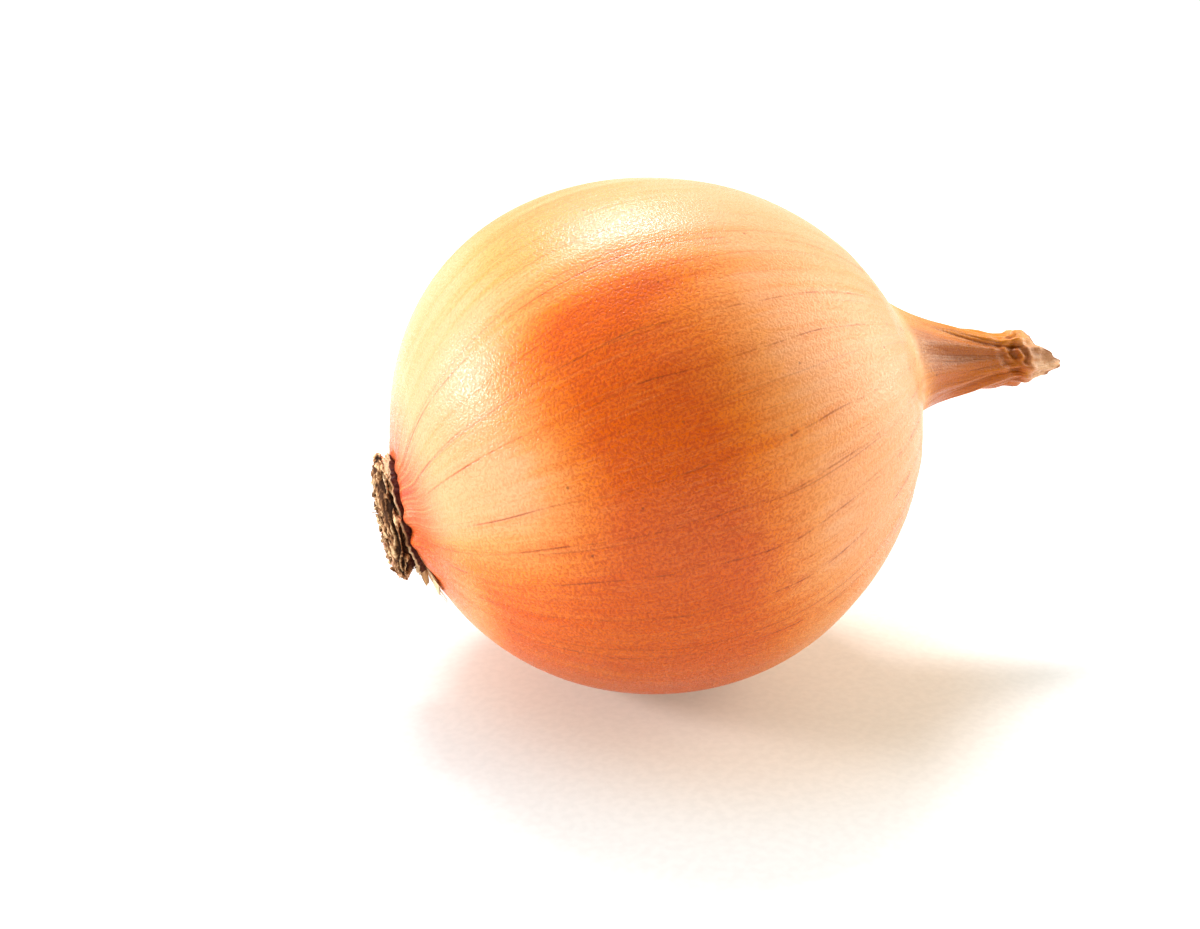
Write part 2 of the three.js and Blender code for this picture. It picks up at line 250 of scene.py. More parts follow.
def closed_grid(rings, start, end):
    """Outward shape of a grid that is closed round its columns and has a point at each end of its rows."""
    rows, columns = rings.shape[:2]
    vertices = np.vstack([rings.reshape(-1, 3), np.reshape(start, (1, 3)), np.reshape(end, (1, 3))])
    i, j = np.meshgrid(np.arange(rows - 1), np.arange(columns), indexing="ij")
    k = (j + 1) % columns
    quads = np.stack([(i + 1) * columns + j, (i + 1) * columns + k, i * columns + k, i * columns + j], -1)
    j = np.arange(columns)
    k = (j + 1) % columns
    first = np.full(columns, rows * columns)
    last = (rows - 1) * columns
    fans = np.stack([np.stack([first, j, k], -1), np.stack([first + 1, last + k, last + j], -1)], 1)
    return facing_out(vertices, quads.reshape(-1, 4), fans.reshape(-1, 3))


def facing_out(vertices, quads, triangles):
    """The same closed shape, turned inside out if its signed volume is below zero."""
    split = np.vstack([quads[:, [0, 1, 2]], quads[:, [0, 2, 3]], triangles])
    a, b, c = (vertices[split[:, n]] - vertices.mean(axis=0) for n in range(3))
    if np.einsum("ij,ij->i", a, np.cross(b, c)).sum() < 0:
        return vertices, quads[:, ::-1], triangles[:, ::-1]
    return vertices, quads, triangles


def sweep(path, radius, sides, heading=None):
    """A closed tube: a circle of the given radius carried along the path, square to it or to one heading."""
    along = np.gradient(path, axis=0) if heading is None else np.tile(heading, (len(path), 1))
    along /= np.linalg.norm(along, axis=1, keepdims=True)
    across = np.cross(along, [0.31, 0.83, 0.46])
    across /= np.linalg.norm(across, axis=1, keepdims=True)
    other = np.cross(along, across)
    turn = np.linspace(0, TURN, sides, endpoint=False)[None, :, None]
    ring = np.cos(turn) * across[:, None] + np.sin(turn) * other[:, None]
    rings = path[:, None] + ring * np.reshape(radius, (-1, 1, 1))
    return closed_grid(rings, path[0], path[-1])


def sheet(points, thickness):
    """A closed thin sheet: an open grid of points, given half its thickness each way along its own normal."""
    down, over = np.gradient(points, axis=(0, 1))
    normal = np.cross(down, over)
    normal /= np.maximum(np.linalg.norm(normal, axis=-1, keepdims=True), 1e-9)
    half = normal * np.reshape(thickness, np.shape(thickness) + (1,)) / 2
    loops = np.concatenate([points + half, (points - half)[:, ::-1]], axis=1)
    return closed_grid(loops, points[0].mean(axis=0), points[-1].mean(axis=0))


def on_cylinder(radius, theta, along):
    """(radius cos theta, radius sin theta, along) at each point of a grid, for waves to be read at."""
    return np.stack(np.broadcast_arrays(radius * np.cos(theta), radius * np.sin(theta), along), -1)


def join(shapes):
    """Several shapes as one."""
    starts = np.cumsum([0] + [len(shape[0]) for shape in shapes])
    vertices = np.vstack([shape[0] for shape in shapes])
    quads = np.vstack([shape[1] + start for shape, start in zip(shapes, starts)])
    triangles = np.vstack([shape[2] + start for shape, start in zip(shapes, starts)])
    return vertices, quads, triangles


def add_object(name, shape, material, attributes=None, uv=None):
    """A smooth mesh object at the origin, from a shape in millimetres, with named values on its points."""
    vertices, quads, triangles = shape
    mesh = bpy.data.meshes.new(name)
    mesh.from_pydata(in_frame(vertices).tolist(), [], quads.tolist() + triangles.tolist())
    mesh.polygons.foreach_set("use_smooth", np.ones(len(mesh.polygons), bool))
    for key, values in (attributes or {}).items():
        values = np.asarray(values, float)
        vector = values.ndim == 2
        layer = mesh.attributes.new(key, "FLOAT_VECTOR" if vector else "FLOAT", "POINT")
        layer.data.foreach_set("vector" if vector else "value", values.ravel())
    if uv is not None:
        mesh.uv_layers.new(name="turn").data.foreach_set("uv", np.asarray(uv, float).ravel())
    mesh.materials.append(material)
    mesh.update()
    obj = bpy.data.objects.new(name, mesh)
    bpy.context.scene.collection.objects.link(obj)
    return obj


def corner_uv(rows, columns):
    """Turn (0 to 1 round) and row share at each face corner of a closed grid, without a jump at the seam."""
    i, j = np.meshgrid(np.arange(rows - 1), np.arange(columns), indexing="ij")
    turn = np.stack([j, j + 1, j + 1, j], -1) / columns
    share = np.stack([i + 1, i + 1, i, i], -1) / rows
    body = np.stack([turn, share], -1).reshape(-1, 2)
    j = np.arange(columns)
    caps = np.zeros((columns, 6, 2))
    caps[..., 0] = np.stack([j + 0.5, j, j + 1, j + 0.5, j + 1, j], -1) / columns
    caps[:, 3:, 1] = 1
    return np.vstack([body, caps.reshape(-1, 2)])


# Node helpers

def put(tree, kind, **settings):
    """A new shader node of a kind, such as Math, with its plain settings."""
    node = tree.nodes.new("ShaderNode" + kind)
    for key, value in settings.items():
        setattr(node, key, value)
    return node


def feed(tree, socket, value):
    """Links a socket, or sets it to a number, colour or vector."""
    if isinstance(value, bpy.types.NodeSocket):
        tree.links.new(value, socket)
    else:
        socket.default_value = value


def calc(tree, operation, a, b=0.0, c=0.0):
    node = put(tree, "Math", operation=operation)
    for socket, value in zip(node.inputs, (a, b, c)):
        feed(tree, socket, value)
    return node.outputs[0]


def times(tree, a, b):
    return calc(tree, "MULTIPLY", a, b)


def larger(tree, a, b):
    return calc(tree, "MAXIMUM", a, b)


def invert(tree, value):
    return calc(tree, "SUBTRACT", 1.0, value)


def varied(tree, base, value, amount):
    """Base plus amount times (value - 0.5)."""
    return calc(tree, "MULTIPLY_ADD", calc(tree, "SUBTRACT", value, 0.5), amount, base)


def parts(tree, kind, value):
    """The three numbers in a vector (kind XYZ) or a colour (kind Color)."""
    node = put(tree, "Separate" + kind)
    feed(tree, node.inputs[0], value)
    return node.outputs


def stretch(tree, vector, scale):
    """A vector times (x, y, z) scale."""
    node = put(tree, "VectorMath", operation="MULTIPLY")
    feed(tree, node.inputs[0], vector)
    feed(tree, node.inputs[1], scale)
    return node.outputs[0]


def noise(tree, vector, scale, detail=2.0, roughness=0.5):
    node = put(tree, "TexNoise")
    feed(tree, node.inputs["Vector"], vector)
    feed(tree, node.inputs["Scale"], scale)
    feed(tree, node.inputs["Detail"], detail)
    feed(tree, node.inputs["Roughness"], roughness)
    return node.outputs["Fac"]


def fade(tree, value, start, end, low=0.0, high=1.0):
    """Smooth step from low at start to high at end."""
    node = put(tree, "MapRange", interpolation_type="SMOOTHSTEP")
    for socket, number in zip(node.inputs, (value, start, end, low, high)):
        feed(tree, socket, number)
    return node.outputs["Result"]


def tint(tree, share, a, b, blend="MIX"):
    """Colour a, with that share of colour b over it."""
    node = put(tree, "Mix", data_type="RGBA", blend_type=blend)
    feed(tree, node.inputs["Factor"], share)
    feed(tree, node.inputs["A"], a)
    feed(tree, node.inputs["B"], b)
    return node.outputs["Result"]


def overlay(tree, colour, layers):
    """A colour with each (share, shade) laid over it in turn."""
    for share, shade in layers:
        colour = tint(tree, share, colour, shade)
    return colour


def attribute(tree, name, output="Fac"):
    return put(tree, "Attribute", attribute_name=name).outputs[output]


# Kinds of socket, and what both vein groups are given
NUMBER = "NodeSocketFloat"
VECTOR = "NodeSocketVector"
VEIN_INPUTS = [("Round", VECTOR), ("Turn", NUMBER), ("Girth", NUMBER), ("Width", NUMBER)]


def new_group(name, inputs):
    """An empty shader node group with named inputs and one output, Value. Returns it and what it is given."""
    group = bpy.data.node_groups.new(name, "ShaderNodeTree")
    for label, kind in inputs:
        group.interface.new_socket(label, in_out="INPUT", socket_type=kind)
    group.interface.new_socket("Value", in_out="OUTPUT", socket_type=NUMBER)
    return group, group.nodes.new("NodeGroupInput").outputs


def ending_in(group, value):
    """The group, with its Value fed."""
    feed(group, group.nodes.new("NodeGroupOutput").inputs["Value"], value)
    return group


def use_group(tree, group, **values):
    """The Value of a group placed in a tree with its own settings."""
    node = put(tree, "Group", node_tree=group)
    for label, value in values.items():
        feed(tree, node.inputs[label], value)
    return node.outputs["Value"]


def make_streaks_group():
    """Fibres running from root to neck: noise on (cos theta, sin theta, along), stretched along."""
    group, given = new_group("lengthwise_streaks", [("Round", VECTOR), ("Count", NUMBER), ("Along", NUMBER)])
    scale = put(group, "CombineXYZ")
    for socket, label in zip(scale.inputs, ("Count", "Count", "Along")):
        feed(group, socket, given[label])
    spread = stretch(group, given["Round"], scale.outputs[0])
    return ending_in(group, noise(group, spread, 1.0, 4.0, 0.6))


def make_veins_group():
    """Thin dark lines from root to neck: one line at a random place in each of Count cells round the bulb."""
    group, given = new_group("skin_veins", [*VEIN_INPUTS, ("Count", NUMBER), ("Seed", NUMBER)])
    around, count = given["Round"], given["Count"]
    sway = noise(group, stretch(group, around, (1.2, 1.2, 1.6)), 1.0, 1.0)
    cells_round = varied(group, times(group, given["Turn"], count), sway, 0.5)
    cell = calc(group, "FLOORED_MODULO", calc(group, "FLOOR", cells_round), count)
    pair = put(group, "CombineXYZ")
    feed(group, pair.inputs[0], cell)
    feed(group, pair.inputs[1], given["Seed"])
    draw = put(group, "TexWhiteNoise", noise_dimensions="2D")
    feed(group, draw.inputs["Vector"], pair.outputs[0])
    drawn = parts(group, "Color", draw.outputs["Color"])
    middle = calc(group, "MULTIPLY_ADD", drawn[0], 0.7, 0.15)
    gap = calc(group, "ABSOLUTE", calc(group, "SUBTRACT", calc(group, "FRACT", cells_round), middle))
    cell_width = calc(group, "DIVIDE", times(group, given["Girth"], TURN), count)
    line = fade(group, times(group, gap, cell_width), given["Width"], 0.0)
    broken = noise(group, stretch(group, around, (9.0, 9.0, 2.2)), 1.0, 2.0)
    strength = times(group, fade(group, drawn[1], 0.2, 0.9), fade(group, broken, 0.36, 0.6))
    return ending_in(group, times(group, line, strength))


def make_main_veins_group():
    """The clearest veins of the outer skin, each at its own angle round the bulb in degrees."""
    group, given = new_group("main_veins", VEIN_INPUTS)
    around = given["Round"]
    sway = noise(group, stretch(group, around, (1.5, 1.5, 2.2)), 1.0, 1.0)
    swayed = varied(group, given["Turn"], sway, 0.012)
    whole_way = times(group, given["Girth"], TURN)
    total = 0.0
    for number, angle in enumerate(MAIN_VEIN_ANGLES):
        turned = calc(group, "FLOORED_MODULO", calc(group, "SUBTRACT", swayed, angle / 360 - 0.5), 1.0)
        away = calc(group, "ABSOLUTE", calc(group, "SUBTRACT", turned, 0.5))
        line = fade(group, times(group, away, whole_way), given["Width"], 0.0)
        broken = noise(group, stretch(group, around, (0.5, 0.5, 5.0)), 1.0 + 0.13 * number, 4.0, 0.7)
        line = times(group, line, fade(group, broken, 0.42, 0.66, 0.06, 1.0))
        total = larger(group, total, line)
    return ending_in(group, total)


def make_grain_group():
    """Fine even grain of the dry skin: noise with cells of Size millimetres, given more contrast."""
    group, given = new_group("skin_grain", [("Vector", VECTOR), ("Size", NUMBER)])
    scale = calc(group, "DIVIDE", 1 / MM, given["Size"])
    fine = noise(group, given["Vector"], scale, 1.0, 0.6)
    return ending_in(group, fade(group, fine, 0.3, 0.7))


def make_specks_group():
    """Sparse round specks: the middle of a given share of Voronoi cells, which are Size millimetres apart."""
    group, given = new_group("skin_specks", [("Vector", VECTOR), ("Size", NUMBER), ("Share", NUMBER)])
    cells = put(group, "TexVoronoi", feature="F1")
    feed(group, cells.inputs["Vector"], given["Vector"])
    feed(group, cells.inputs["Scale"], calc(group, "DIVIDE", 1 / MM, given["Size"]))
    drawn = parts(group, "Color", cells.outputs["Color"])
    chosen = calc(group, "LESS_THAN", drawn[0], given["Share"])
    dot = fade(group, cells.outputs["Distance"], 0.11, 0.03)
    return ending_in(group, times(group, chosen, dot))


MAIN_VEIN_ANGLES = (56.3, 40.0, 30.3, 13.7, 4.2, -5.2, -15.3, -27.6)

STREAKS = make_streaks_group()
VEINS = make_veins_group()
MAIN_VEINS = make_main_veins_group()
GRAIN = make_grain_group()
SPECKS = make_specks_group()


def new_material(name, roughness, **constants):
    """A Principled material and its tree. Constants go straight on the shader's sockets."""
    material = bpy.data.materials.new(name)
    material.use_nodes = True
    tree = material.node_tree
    shader = tree.nodes["Principled BSDF"]
    shader.inputs["Roughness"].default_value = roughness
    for label, value in constants.items():
        shader.inputs[label.replace("_", " ")].default_value = value
    return material, tree, shader


def object_space(tree):
    return put(tree, "TexCoord").outputs["Object"]


def finish(tree, shader, colour, height, distance):
    """Gives the shader its colour, and a bump of height 0 to 1 over a distance in millimetres."""
    feed(tree, shader.inputs["Base Color"], colour)
    node = put(tree, "Bump")
    node.inputs["Strength"].default_value = 1.0
    node.inputs["Distance"].default_value = distance * MM
    feed(tree, node.inputs["Height"], height)
    feed(tree, shader.inputs["Normal"], node.outputs["Normal"])


# Colours of the skin
DEEP_ORANGE = (0.72, 0.108, 0.001, 1)
ORANGE = (0.84, 0.20, 0.016, 1)
GOLD = (0.89, 0.315, 0.078, 1)
STRAW = (0.89, 0.395, 0.168, 1)
CREAM = (0.91, 0.47, 0.19, 1)
VEIN_BROWN = (0.28, 0.05, 0.006, 1)
ROOT_BLUSH = (0.76, 0.082, 0.016, 1)
SPECK_BROWN = (0.14, 0.03, 0.008, 1)
NECK_GOLD = (0.84, 0.31, 0.015, 1)
NECK_ORANGE = (0.52, 0.118, 0.0005, 1)
NECK_BROWN = (0.26, 0.062, 0.0005, 1)
TIP_TAN = (0.82, 0.47, 0.24, 1)
ROOT_STREAK = (0.36, 0.02, 0.006, 1)
GRAIN_DARK = (0.81, 0.67, 0.50, 1)
GRAIN_LIGHT = (1.08, 1.16, 1.24, 1)

# Main veins and minor ones: the width in millimetres of a line, and of the deeper skin on each side
MAIN_VEIN_WIDTH = 0.18
MAIN_VEIN_HALO = 1.3
VEIN_COUNT = 52.0
VEIN_WIDTH = 0.16
VEIN_HALO = 1.0

# Streaks: how many round the bulb, and how short they are along it
STREAK_SIZES = {
    "broad": (2.4, 1.1),
    "middle": (14.0, 1.1),
    "fine": (60.0, 2.5),
    "hair": (190.0, 6.0),
    "dashes": (105.0, 3.4),
    "root": (9.0, 0.8),
}


def paleness_with_painted_light(tree, high, along, streaks):
    """Near 0 where the skin is deepest, over the belly, and near 1 at its pale ends and top, with streaks.
    Partly the skin's own tone and partly painted light: paler where the left and top windows light it, and
    painted shade over the belly that faces the dim front.

    High is sin theta. Along is x over the bulb's half length: -1 at the root and 1 where the neck starts.
    """
    # Paler towards the root, more on its upper side: partly the skin's own tone, partly painted highlight of
    # the left window.
    near_root = times(tree, fade(tree, along, -0.34, -0.7), fade(tree, high, -0.4, 0.4))
    near_root = larger(tree, near_root, fade(tree, along, -0.78, -0.9, 0.0, 0.6))
    near_neck = fade(tree, along, -0.17, 0.32, 0.0, 0.92)
    near_neck = times(tree, near_neck, fade(tree, high, -0.8, -0.1, 0.72, 1.0))
    # Pale top above a sharp line: painted light where the top window falls.
    painted_top_light = fade(tree, high, 0.74, 0.84, 0.0, 0.68)
    # What is left over the belly, facing the dim front, stays deep orange: partly the skin's own tone, partly
    # painted shade.
    deep = times(tree, times(tree, invert(tree, near_root), invert(tree, near_neck)), invert(tree, painted_top_light))
    pale = calc(tree, "MULTIPLY_ADD", fade(tree, high, -0.45, -0.8), 0.13, invert(tree, deep))
    for name, amount in (("broad", 0.6), ("middle", 0.55), ("fine", 0.35)):
        pale = varied(tree, pale, streaks[name], amount)
    return pale


def skin_shades(tree, pale):
    """From deep orange through orange and gold to straw."""
    ramp = put(tree, "ValToRGB")
    feed(tree, ramp.inputs[0], pale)
    stops = ramp.color_ramp.elements
    stops[0].position, stops[0].color = 0.02, DEEP_ORANGE
    stops[1].position, stops[1].color = 1.0, STRAW
    for position, shade in ((0.36, ORANGE), (0.75, GOLD)):
        stops.new(position).color = shade
    return ramp.outputs["Color"]


def neck_shades(tree, high, along, streaks):
    """Golden on top, a brown band of painted shade below that and orange underneath, with painted light on
    folds, painted shade in hollows, and golden fibres.
    """
    fold = attribute(tree, "fold")
    colour = tint(tree, fade(tree, along, 0.98, 1.1), NECK_GOLD, NECK_ORANGE)
    # A band of painted shade along the neck's side, below its golden top.
    shaded = times(tree, fade(tree, high, -0.15, 0.3), fade(tree, high, 0.9, 0.6, 0.0, 0.5))
    return overlay(tree, colour, (
        (fade(tree, along, 1.5, 1.6), TIP_TAN),
        (shaded, NECK_BROWN),
        (fade(tree, high, 0.6, 0.95, 0.0, 0.6), NECK_GOLD),
        # The fold value paints light on the folds and shade in the grooves, at the knot and in the torn tip.
        (fade(tree, fold, 0.0, 0.9, 0.0, 0.32), NECK_GOLD),
        (fade(tree, fold, -0.1, -0.9, 0.0, 0.75), NECK_BROWN),
        (fade(tree, streaks["fine"], 0.52, 0.32, 0.0, 0.5), NECK_BROWN),
        (fade(tree, streaks["hair"], 0.5, 0.7, 0.0, 0.4), NECK_GOLD),
        (fade(tree, streaks["hair"], 0.48, 0.3, 0.0, 0.55), NECK_BROWN),
    ))


def vein_marks(tree, around, along, pale, dashes):
    """Shares of dark line and of deeper skin beside it, for main and minor veins. Both end at the neck."""
    uv = put(tree, "UVMap", uv_map="turn").outputs[0]
    where = {"Round": around, "Turn": parts(tree, "XYZ", uv)[0], "Girth": attribute(tree, "girth")}
    minor = {**where, "Count": VEIN_COUNT, "Seed": 3.0}
    sharp = times(tree, use_group(tree, MAIN_VEINS, **where, Width=MAIN_VEIN_WIDTH), 0.75)
    thin = times(tree, use_group(tree, VEINS, **minor, Width=VEIN_WIDTH), 0.4)
    lines = larger(tree, larger(tree, sharp, thin), fade(tree, dashes, 0.6, 0.76, 0.0, 0.3))
    wide = times(tree, use_group(tree, MAIN_VEINS, **where, Width=MAIN_VEIN_HALO), 0.45)
    halo = times(tree, use_group(tree, VEINS, **minor, Width=VEIN_HALO), 0.25)
    shades = times(tree, larger(tree, wide, halo), fade(tree, pale, 0.4, 1.0, 1.0, 0.4))
    bulb_only = fade(tree, along, 1.1, 0.95)
    return times(tree, lines, bulb_only), times(tree, shades, bulb_only)


def make_skin_material():
    """Dry golden skin, deep orange over the belly and paler to the ends and the top, partly painted shade and
    light, with veins and grain.
    """
    material, tree, shader = new_material("onion_skin", 0.36, Specular_IOR_Level=0.28)
    here = object_space(tree)
    around = attribute(tree, "round", "Vector")
    _, high, along = parts(tree, "XYZ", around)
    streaks = {
        name: use_group(tree, STREAKS, Round=around, Count=count, Along=shortness)
        for name, (count, shortness) in STREAK_SIZES.items()
    }
    grain = use_group(tree, GRAIN, Vector=here, Size=0.31)
    specks = use_group(tree, SPECKS, Vector=here, Size=2.4, Share=0.16)
    pale = paleness_with_painted_light(tree, high, along, streaks)
    lines, shades = vein_marks(tree, around, along, pale, streaks["dashes"])

    blush = times(tree, fade(tree, along, -0.86, -0.97), fade(tree, streaks["fine"], 0.3, 0.6, 0.35, 1.0))
    blush = times(tree, blush, fade(tree, high, -0.85, -0.3, 0.5, 0.85))
    root_streaks = times(tree, fade(tree, streaks["root"], 0.52, 0.66), fade(tree, along, -0.93, -0.98))
    colour = overlay(tree, skin_shades(tree, pale), (
        (fade(tree, streaks["hair"], 0.45, 0.8, 0.0, 0.15), CREAM),
        (fade(tree, along, 0.82, 1.0, 0.0, 0.5), CREAM),
        (blush, ROOT_BLUSH),
        (times(tree, root_streaks, 0.7), ROOT_STREAK),
        (fade(tree, along, 0.975, 1.03), neck_shades(tree, high, along, streaks)),
        (shades, DEEP_ORANGE),
        (lines, VEIN_BROWN),
        (times(tree, specks, 0.6), SPECK_BROWN),
    ))
    grained = tint(tree, grain, GRAIN_DARK, GRAIN_LIGHT)
    colour = tint(tree, fade(tree, pale, 0.3, 1.0, 1.0, 0.5), colour, grained, "MULTIPLY")
    feed(tree, shader.inputs["Roughness"], fade(tree, grain, 0.0, 1.0, 0.44, 0.26))
    height = calc(tree, "MULTIPLY_ADD", grain, 0.5, times(tree, streaks["fine"], 0.6))
    height = calc(tree, "MULTIPLY_ADD", lines, -0.5, height)
    finish(tree, shader, colour, height, 0.05)
    return material


# Colours of the root end
# The pit colours darken the pits, partly painted shade; the waist colours are painted shade in the recess at
# the plate's waist, amber on top.
ROOT_PIT = (0.022, 0.007, 0.002, 1)
FACE_PIT = (0.085, 0.035, 0.014, 1)
ROOT_BROWN = (0.27, 0.12, 0.045, 1)
ROOT_BEIGE = (0.92, 0.63, 0.33, 1)
ROOT_PINK = (0.80, 0.46, 0.33, 1)
WAIST_PAINTED_SHADE = (0.05, 0.008, 0.004, 1)
WAIST_AMBER = (0.50, 0.17, 0.03, 1)


def make_root_material():
    """Corky stem plate: near-black pits, partly painted shade, brown slopes, pale ridges, and painted shade
    at the waist.
    """
    material, tree, shader = new_material("dried_root", 0.9, Specular_IOR_Level=0.12)
    here = object_space(tree)
    relief, front, high, face = (attribute(tree, name) for name in ("relief", "front", "high", "face"))
    fine = use_group(tree, GRAIN, Vector=here, Size=0.5)
    level = varied(tree, relief, fine, 0.3)
    blotch = fade(tree, noise(tree, here, 160.0, 2.0), 0.35, 0.55, 0.3, 1.0)
    pale = tint(tree, times(tree, fade(tree, high, -0.5, -0.9), blotch), ROOT_BEIGE, ROOT_PINK)
    pale_ridges = times(tree, fade(tree, level, 0.62, 0.98), fade(tree, face, 0.0, 1.0, 1.0, 0.6))
    # Pits darkest: partly the tissue's own brown, partly painted shade.
    pit = tint(tree, times(tree, face, 0.8), ROOT_PIT, FACE_PIT)
    colour = overlay(tree, pit, ((fade(tree, level, 0.35, 0.7), ROOT_BROWN), (pale_ridges, pale)))
    # Painted shade in the recess at the waist, less deep towards the top.
    waist = tint(tree, fade(tree, high, 0.55, 0.85), WAIST_PAINTED_SHADE, WAIST_AMBER)
    finish(tree, shader, tint(tree, fade(tree, front, 0.1, 0.9), waist, colour), fine, 0.08)
    return material


def make_fibre_material():
    """Dry root fibre: tan, with darker cells and a fine grain."""
    material, tree, shader = new_material("root_fibre", 0.85, Specular_IOR_Level=0.15)
    here = object_space(tree)
    fine = use_group(tree, GRAIN, Vector=here, Size=0.45)
    colour = tint(tree, fade(tree, noise(tree, here, 420.0, 2.0), 0.35, 0.65), ROOT_BROWN, ROOT_BEIGE)
    colour = tint(tree, fade(tree, fine, 0.2, 0.8, 0.35, 0.0), colour, ROOT_PIT)
    finish(tree, shader, colour, fine, 0.05)
    return material


# Colours of the torn skin
TORN_PALE = (0.90, 0.66, 0.38, 1)
TORN_TAN = (0.60, 0.34, 0.15, 1)
TORN_BROWN = (0.22, 0.08, 0.035, 1)
TORN_RED_AND_SHADE = (0.05, 0.004, 0.0015, 1)


def make_torn_material():
    """Torn papery skin: pale straw with tan and brown patches, and dark red below an upright torn edge,
    partly red skin and partly painted shade of the groove it stands in.
    """
    material, tree, shader = new_material("torn_skin", 0.6, Specular_IOR_Level=0.2)
    here = object_space(tree)
    fine = use_group(tree, GRAIN, Vector=here, Size=0.6)
    broad = noise(tree, here, 260.0, 3.0)
    colour = tint(tree, fade(tree, broad, 0.42, 0.66), TORN_PALE, TORN_TAN)
    colour = tint(tree, fade(tree, broad, 0.6, 0.78, 0.0, 0.8), colour, TORN_BROWN)
    # Dark red towards the frill's foot: partly the red skin, partly painted shade of the groove between plate
    # and bulb.
    colour = tint(tree, fade(tree, attribute(tree, "edge"), 0.82, 0.96), TORN_RED_AND_SHADE, colour)
    colour = tint(tree, fade(tree, fine, 0.1, 0.7, 0.25, 0.0), colour, TORN_BROWN)
    finish(tree, shader, colour, fine, 0.05)
    return material


# Skin of the bulb and neck

SKIN_COLUMNS = 384
BULB_ROWS = 116
NECK_ROWS = 100
LIP_ROWS = 44
INNER_ROWS = 16
CRATER_ROWS = 8


def tip_edge(theta):
    """How far the torn edge of the neck reaches: a tongue in front, a notch, a hook on top, small tears."""
    tongue = TONGUE_LENGTH * bump(theta, *TONGUE_AROUND)
    notch = NOTCH_DEPTH * bump(theta, *NOTCH_AROUND)
    hook = HOOK_LENGTH * bump(theta, *HOOK_AROUND)
    torn = 0.22 * np.sin(7 * theta + 0.7) + 0.14 * np.sin(15 * theta)
    return NECK_END + tongue - notch + hook + torn


def tip_pinch(theta):
    """Share of its plain radius that the torn edge keeps: the hook stands out, the rest is creased."""
    creased = 0.07 * np.cos(5 * theta + 2) + 0.05 * np.cos(9 * theta + 0.5)
    return 1 + 0.42 * bump(theta, 1.6, 0.3) - 0.25 * bump(theta, 4.4, 1.1) + creased


def drawn_together(x, theta):
    """The angle that a fold started from: folds close up towards the knot, theta + pull sin(theta - knot)."""
    start, end = KNOT_PULL_X
    pull = KNOT_PULL * smooth(start, KNOT_X, x) * (1 - 0.6 * smooth(KNOT_X, end, x))
    return theta + pull * np.sin(theta - KNOT_ANGLE)


def waist(x):
    """The neck is wrung a little narrower just before its torn tip: 1 - depth e^-((x - middle) / width)^2."""
    return 1 - WAIST_DEPTH * np.exp(-(((x - WAIST_X) / WAIST_WIDTH) ** 2))


def around_knot(x, theta):
    """Distance from the knot over the surface in millimetres, and the direction from it."""
    across = NECK_TIP_RADIUS * ((theta - KNOT_ANGLE + math.pi) % TURN - math.pi)
    return np.hypot(across, x - KNOT_X), np.arctan2(across, x - KNOT_X)


def lip_surface(share, theta):
    """x and radius of the torn tip, share running from the wrung neck to the edge."""
    x = NECK_PLAIN_END + (tip_edge(theta) - NECK_PLAIN_END) * share
    scale = np.interp(x, *zip(*TIP_NARROWING))
    radius = body_radius(np.minimum(x, 58)) * ridges(x, drawn_together(x, theta)) * waist(x) * scale
    return x, radius * (1 + smooth(0.2, 1, share) * (tip_pinch(theta) - 1))


def skin_rings():
    """x, radius, angle and edge share on one grid: bulb, neck, torn tip, its inner wall and a floor."""
    theta = np.linspace(0, TURN, SKIN_COLUMNS, endpoint=False)[None, :]
    phi = np.linspace(0.012, math.acos(-NECK_ROWS_FROM / BULB_HALF_LENGTH), BULB_ROWS)
    x_bulb = -BULB_HALF_LENGTH * np.cos(phi)
    x_neck = np.linspace(NECK_ROWS_FROM, NECK_PLAIN_END, NECK_ROWS + 1)[1:]
    x = np.concatenate([x_bulb, x_neck])[:, None]
    plain = body_radius(x) * section(x, theta) * ridges(x, drawn_together(x, theta)) * waist(x)
    x = np.broadcast_to(x, plain.shape)

    share = np.linspace(0, 1, LIP_ROWS + 1)[1:, None]
    x_lip, lip = lip_surface(share, theta)
    down = np.linspace(0, 1, INNER_ROWS + 1)[1:, None]
    floor_share = (NECK_END - CRATER_DEPTH - NECK_PLAIN_END) / (tip_edge(theta) - NECK_PLAIN_END)
    x_inner, inner = lip_surface(1 + (floor_share - 1) * down, theta)
    inner = inner - 0.18 - 0.35 * smooth(0, 0.6, down)
    close = np.linspace(0, 1, CRATER_ROWS + 1)[1:, None]
    x_floor = x_inner[-1] + 0.5 * np.sin(3 * theta + 1) * close
    floor = inner[-1] * (1 - close)

    rows_x = np.vstack([x, x_lip, x_inner, x_floor])
    rows_r = np.vstack([plain, lip, inner, floor])
    edge = np.concatenate([np.zeros(len(x)), smooth(0.86, 1, share[:, 0]), np.ones(INNER_ROWS + CRATER_ROWS)])
    return rows_x, np.maximum(rows_r, 0.04), np.broadcast_to(theta, rows_x.shape), edge[:, None]


def with_ends(rows, first, last):
    """Values of a grid's points, followed by those of its two end points."""
    return np.concatenate([rows.reshape(-1, *rows.shape[2:]), first, last])


